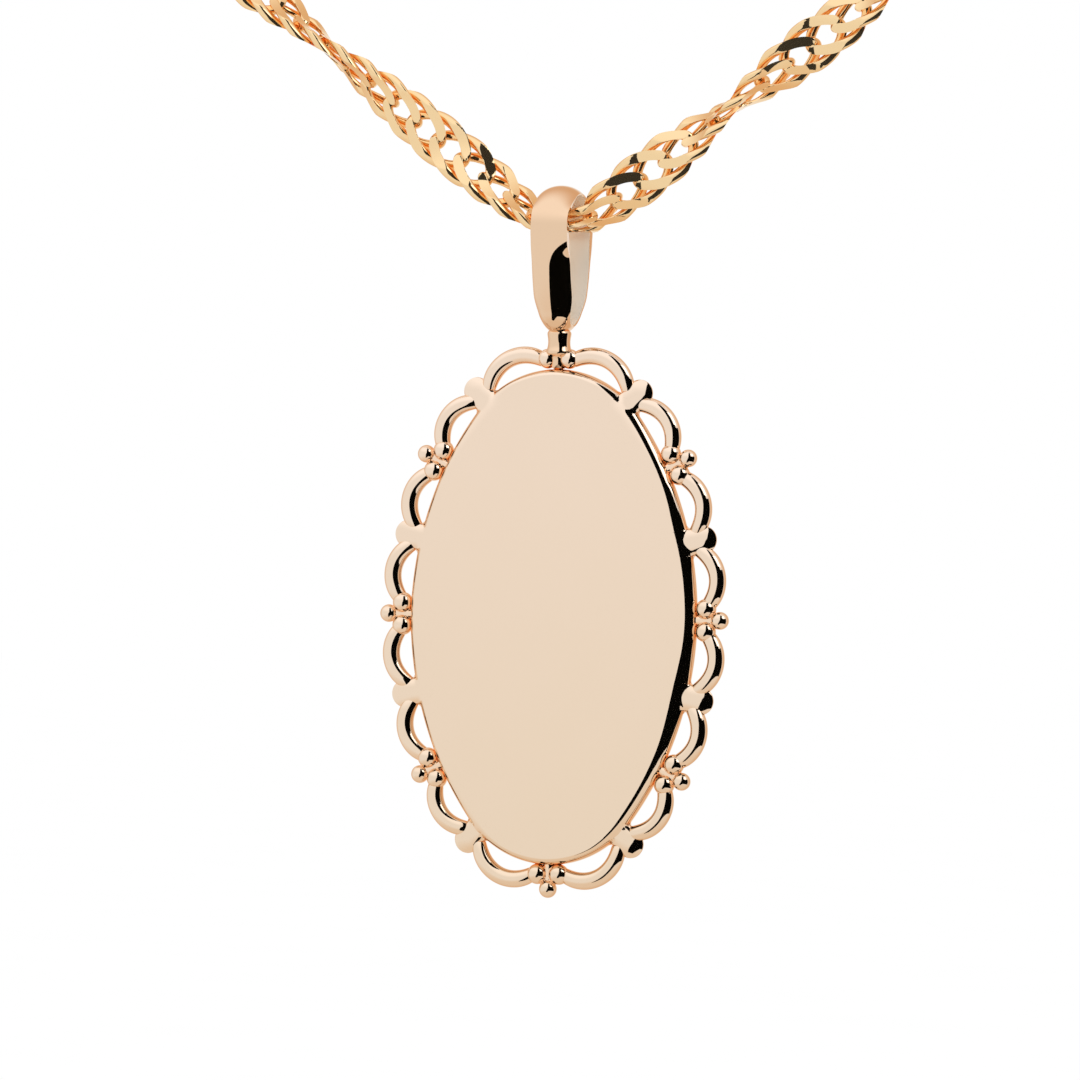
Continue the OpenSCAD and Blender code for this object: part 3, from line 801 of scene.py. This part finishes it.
# %% [markdown]
# ## The lid and its hinge
#
# Behind the plate lies the lid, a little smaller than the plate and softly rounded at the back. It has a
# photo well of its own and a notch that clears the hinge tubes. The hinge is made of three drawn tubes on one
# pin, each soldered down by a small foot.

# %% Lid
LID_INSET, LID_FRONT, LID_BACK, LID_SOFT, LID_FLOOR = -0.75, 0.605, 1.755, 0.5, 1.305
LID_BREAK = 0.04
HINGE_IN, HINGE_Y, KNUCKLE_R = 0.65, 1.075, 0.45
HINGE_X = HINGE_IN - HALF_W
MID_HALF, OUT_HALF, BORE_R = 0.95, 2.4, 0.23
NOTCH_PLAY, NOTCH_MORE, NOTCH_DEEP, NOTCH_Y, NOTCH_T = 0.1, 0.27, 3, 1, 4
NOTCH_X, NOTCH_HALF = HINGE_X + KNUCKLE_R + NOTCH_PLAY, OUT_HALF + NOTCH_MORE


def oval_row(off, y, count=256):
    """A row of points on the oval, off from the plate's rim and at depth y."""
    x, z, _ = rim_at(np.arange(count) * 16 / count, off)
    return np.c_[x, np.full(count, y), z]


rows = [oval_row(WELL, LID_FLOOR), oval_row(WELL, LID_FRONT)]
rows += [oval_row(LID_INSET - LID_BREAK, LID_FRONT), oval_row(LID_INSET, LID_FRONT + LID_BREAK)]
for a in np.linspace(0, math.pi / 2, 13):
    rows.append(oval_row(LID_INSET - LID_SOFT * (1 - math.cos(a)), LID_BACK - LID_SOFT * (1 - math.sin(a))))
lid = loft("lid_shell", rows)
cut(lid, box((NOTCH_X - NOTCH_DEEP / 2, NOTCH_Y, 0), (NOTCH_DEEP, NOTCH_T, 2 * NOTCH_HALF)))
hang(lid, "lid", "rose_gold", ROSE, "rear_lid")
print("lid:", len(lid.data.polygons), "faces")

# %% Hinge tubes
TUBE_SOFT, TUBE_GAP = 0.05, 0.05
FOOT_CLEAR, FOOT_W, LEAF_T, FOOT_SOFT = 0.02, 0.6, 0.56, 0.04


def tube(name, low, high, foot_at, foot_size):
    """A tube around the hinge's axis, soldered to a foot."""
    profile = [
        (BORE_R, low),
        (KNUCKLE_R - TUBE_SOFT, low),
        (KNUCKLE_R, low + TUBE_SOFT),
        (KNUCKLE_R, high - TUBE_SOFT),
        (KNUCKLE_R - TUBE_SOFT, high),
        (BORE_R, high),
    ]
    r, z = np.array(profile).T
    turns = np.linspace(0, 2 * math.pi, 65)[:-1]
    rows = [np.c_[HINGE_X + r * math.cos(t), HINGE_Y + r * math.sin(t), z] for t in turns]
    barrel = loft(name, rows, loop=True)
    foot = modify(box(foot_at, foot_size), "BEVEL", width=FOOT_SOFT, segments=3)
    return join(name, barrel, foot)


inner_end = MID_HALF + TUBE_GAP
foot_top = HINGE_Y - BORE_R - FOOT_CLEAR
for name, low, high in (("tube_top", inner_end, OUT_HALF), ("tube_low", -OUT_HALF, -inner_end)):
    foot_at = (HINGE_X, (PLATE_T / 2 + foot_top) / 2, (low + high) / 2)
    foot_size = (FOOT_W, foot_top - PLATE_T / 2, high - low)
    obj = tube(name, low, high, foot_at, foot_size)
    hang(obj, "locket", "rose_gold", ROSE, name.replace("tube", "case_knuckle"))
leaf_x = HINGE_X + BORE_R + FOOT_CLEAR
leaf_at = ((leaf_x + NOTCH_X) / 2, HINGE_Y, 0)
leaf_size = (NOTCH_X - leaf_x, LEAF_T, 2 * MID_HALF)
obj = tube("tube_middle", -MID_HALF, MID_HALF, leaf_at, leaf_size)
hang(obj, "lid", "rose_gold", ROSE, "lid_knuckle")
print("hinge tubes: 3")

# %% Hinge pin
PIN_R, PIN_PLAY, HEAD_R, HEAD_T = 0.2, 0.02, 0.33, 0.15
HEAD_SOFT, HEAD_LIP, HEAD_SIDE = 0.03, 0.02, 0.06
head = OUT_HALF + PIN_PLAY
LOW_END = [
    (PIN_R, -head - HEAD_T),
    (HEAD_R - HEAD_SOFT, -head - HEAD_T + HEAD_LIP),
    (HEAD_R, -head - HEAD_SIDE),
    (HEAD_R, -head),
    (PIN_R, -head),
]
pin = lathe("pin", LOW_END + [(r, -z) for r, z in reversed(LOW_END)], HINGE_X, HINGE_Y, 48)
hang(pin, "locket", "yellow_gold", GOLD, "hinge_pin")
print("hinge pin:", len(pin.data.polygons), "faces")

# %% [markdown]
# ## The small parts kept from the construction model
#
# The catch tongue, the nail tab and the flat inserts of the wells are plain sheet and keep their shapes. They
# only need their finish.

# %% Finish of the kept parts
KEPT = {"catch_tongue": ROSE, "nail_tab": ROSE, "case_rim": ROSE, "lid_rim": ROSE}
KEPT |= {"case_card": PAPER, "lid_card": PAPER, "case_window": CLEAR, "lid_window": CLEAR}
for name, finish in KEPT.items():
    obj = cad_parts[name]
    obj.data.materials.clear()
    obj.data.materials.append(finish)
print("kept:", list(KEPT))

# %% [markdown]
# ## Studio
#
# Mirrors show the room, so the room is part of the finish. The locket hangs in a white light tent, which
# gives the broad pale reflections. Behind the locket the tent is warm and dim, which draws the warm outlines
# of the wires, but for one pale patch, which the lid mirrors. The open front of the tent, from before the
# locket round to its right, is dark, and draws the black stripes along the edge, the arches and the bail. A
# soft lamp on the same side makes the brightest spots.

# %% World
scene = bpy.context.scene
scene.view_settings.view_transform = "Standard"
middle = Vector((0, 0, FACE_Z))
WHITE, BRIGHT, WARM = (1, 1, 1, 1), (1.2, 1.2, 1.22, 1), (0.92, 0.80, 0.68, 1)
DIM, CREAM = (0.84, 0.58, 0.38, 1), (1.0, 0.96, 0.92, 1)
ABOVE, BELOW, BEHIND = (0.2, 0.75), (-0.25, -0.85), (-0.25, 0.8)
PATCH_WAY, PATCH = (-0.15, 0.98, -0.1), (0.78, 0.94)


def seen_rays(pen):
    """1 for camera, glossy and transmission rays."""
    kinds = ("Camera", "Glossy", "Transmission")
    eye, mirror, glass = (pen.make("ShaderNodeLightPath", out=f"Is {kind} Ray") for kind in kinds)
    return pen.make("ShaderNodeMath", {"operation": "ADD", "use_clamp": True}, {0: eye + mirror, 1: glass})


def ramp(pen, level, span):
    """Rises smoothly from 0 to 1 while a level goes from the start of a span to its end."""
    smooth = {"interpolation_type": "SMOOTHSTEP"}
    return pen.make("ShaderNodeMapRange", smooth, {0: level, 1: span[0], 2: span[1]})


def tent_tint(pen, ways, plain):
    """Plain colour, but for mirrors brighter above, warmer below and behind, with a pale patch there."""
    glossy = pen.make("ShaderNodeLightPath", out="Is Glossy Ray")
    height, depth = (pen.make("ShaderNodeSeparateXYZ", {}, {0: ways}, axis) for axis in "ZY")
    ahead = pen.make("ShaderNodeVectorMath", {"operation": "DOT_PRODUCT"}, {0: ways, 1: PATCH_WAY}, "Value")
    tone = mix(pen, ramp(pen, height, ABOVE), WHITE, BRIGHT)
    tone = mix(pen, ramp(pen, height, BELOW), tone, WARM)
    tone = mix(pen, ramp(pen, depth, BEHIND), tone, DIM)
    tone = mix(pen, ramp(pen, ahead, PATCH), tone, CREAM)
    return mix(pen, glossy, plain, tone)


world = bpy.data.worlds.new("tent")
scene.world = world
world.use_nodes = True
world.node_tree.nodes.clear()
pen = Wire(world.node_tree)
strength = 0.7 + 0.3 * seen_rays(pen)
tint = tent_tint(pen, pen.make("ShaderNodeTexCoord", out="Generated"), WHITE)
backdrop = pen.make("ShaderNodeBackground", {}, {"Color": tint, "Strength": strength})
output = world.node_tree.nodes.new("ShaderNodeOutputWorld")
world.node_tree.links.new(backdrop.socket, output.inputs["Surface"])
print("world:", len(world.node_tree.nodes), "nodes")

# %% Floor
FLOOR_DROP, FLOOR_SIZE = 0.03, 6
FLOOR_Z = cad_size[0].z - FLOOR_DROP
clear_bench()
bpy.ops.mesh.primitive_plane_add(size=FLOOR_SIZE, location=(0, 0, FLOOR_Z))
floor = bpy.context.object
floor.name = "floor"
floor_mat, pen, place = material("floor")
cloth = noise(pen, place, 0.05)
glossy = pen.make("ShaderNodeLightPath", out="Is Glossy Ray")
face_at = (middle - floor.location) / MM
away = pen.make("ShaderNodeVectorMath", {"operation": "SUBTRACT"}, {0: place, 1: face_at})
ways = pen.make("ShaderNodeVectorMath", {"operation": "NORMALIZE"}, {0: away})
grey = mix(pen, cloth, (0.19, 0.19, 0.19, 1), (0.21, 0.21, 0.21, 1))
shader(
    pen,
    Base_Color=mix(pen, glossy, grey, (0, 0, 0, 1)),
    Roughness=0.9,
    Specular_IOR_Level=0.0,
    Emission_Color=tent_tint(pen, ways, (0.86, 0.86, 0.86, 1)),
    Emission_Strength=1.0,
)
floor.data.materials.append(floor_mat)
print("floor at z =", round(FLOOR_Z / MM, 1), "mm")

# %% Dark opening
CARD_FAR, CARD_CLEAR, CARD_GRID = 0.4, 0.002, (108, 30)
CARD_LOW = (-8, 10, 22, 34, 60, 104), (-48, -50, -40, -31, -30, -30)
CARD_TOP = (-8, 2, 10, 16.5, 18.5, 21.5, 55, 70, 104), (-44, -22, 0, 10, 35, 74, 74, 22, 22)
CARD_AZ = CARD_LOW[0][0], CARD_LOW[0][-1]


def toward(az, el):
    """Direction at an angle to the right of the face's front and an angle above it."""
    return Vector((math.sin(az) * math.cos(el), -math.cos(az) * math.cos(el), math.sin(el)))


clear_bench()
bpy.ops.mesh.primitive_grid_add(x_subdivisions=CARD_GRID[0], y_subdivisions=CARD_GRID[1], size=1)
opening = bpy.context.object
opening.name = "tent_opening"
for v in opening.data.vertices:
    across, up = v.co.x + 0.5, v.co.y + 0.5
    az = CARD_AZ[0] + across * (CARD_AZ[1] - CARD_AZ[0])
    low, high = float(np.interp(az, *CARD_LOW)), float(np.interp(az, *CARD_TOP))
    az, el = math.radians(az), math.radians(low + up * (high - low))
    far = CARD_FAR if el >= 0 else min(CARD_FAR, (FACE_Z - FLOOR_Z - CARD_CLEAR) / math.sin(-el))
    v.co = middle + far * toward(az, el)
dark, pen, place = material("tent_opening")
weave = noise(pen, place, 0.02)
black = mix(pen, weave, (0.001, 0.001, 0.001, 1), (0.003, 0.003, 0.002, 1))
shader(pen, Base_Color=black, Roughness=1.0, Specular_IOR_Level=0.0)
opening.data.materials.append(dark)
for rays in ("camera", "diffuse", "shadow", "transmission"):
    setattr(opening, f"visible_{rays}", False)
print("dark opening:", len(opening.data.polygons), "faces, seen only in mirrors")

# %% Lamp
LAMP_AZ, LAMP_EL, LAMP_FAR = math.radians(68), math.radians(40), 0.36
LAMP_SIZE, LAMP_POWER = 0.16, 0.14
way = toward(LAMP_AZ, LAMP_EL)
clear_bench()
bpy.ops.object.light_add(type="AREA", location=middle + LAMP_FAR * way)
lamp = bpy.context.object
lamp.name = "soft_lamp"
lamp.rotation_euler = way.to_track_quat("Z", "Y").to_euler()
lamp.data.shape = "RECTANGLE"
lamp.data.size = lamp.data.size_y = LAMP_SIZE
lamp.data.energy = LAMP_POWER
print("lamp power:", LAMP_POWER, "W")

# %% [markdown]
# ## Camera
#
# The photo looks at the locket from twenty degrees to its right, level with it, through a long lens. The
# camera is rolled a little, because the locket doesn't hang quite straight in the photo.

# %% Camera
AZIMUTH, TILT, FAR, FIELD = math.radians(20), math.radians(1.2), 0.5, 0.054
AIM_RIGHT, AIM_UP, SENSOR = -0.68, 3.85, 36
back = Vector((math.sin(AZIMUTH), -math.cos(AZIMUTH), 0))
right = Vector((math.cos(AZIMUTH), math.sin(AZIMUTH), 0))
up = Vector((0, 0, 1))
cam_right = right * math.cos(TILT) + up * math.sin(TILT)
cam_up = up * math.cos(TILT) - right * math.sin(TILT)
aim = middle + AIM_RIGHT * MM * cam_right + AIM_UP * MM * cam_up
camera = bpy.data.objects.new("camera", bpy.data.cameras.new("camera"))
bpy.context.collection.objects.link(camera)
camera.data.sensor_width = SENSOR
camera.data.lens = SENSOR * FAR / FIELD
camera.data.clip_start = 0.01
camera.matrix_world = Matrix((cam_right, cam_up, back)).transposed().to_4x4()
camera.location = aim + FAR * back
scene.camera = camera
print("lens:", round(camera.data.lens), "mm")
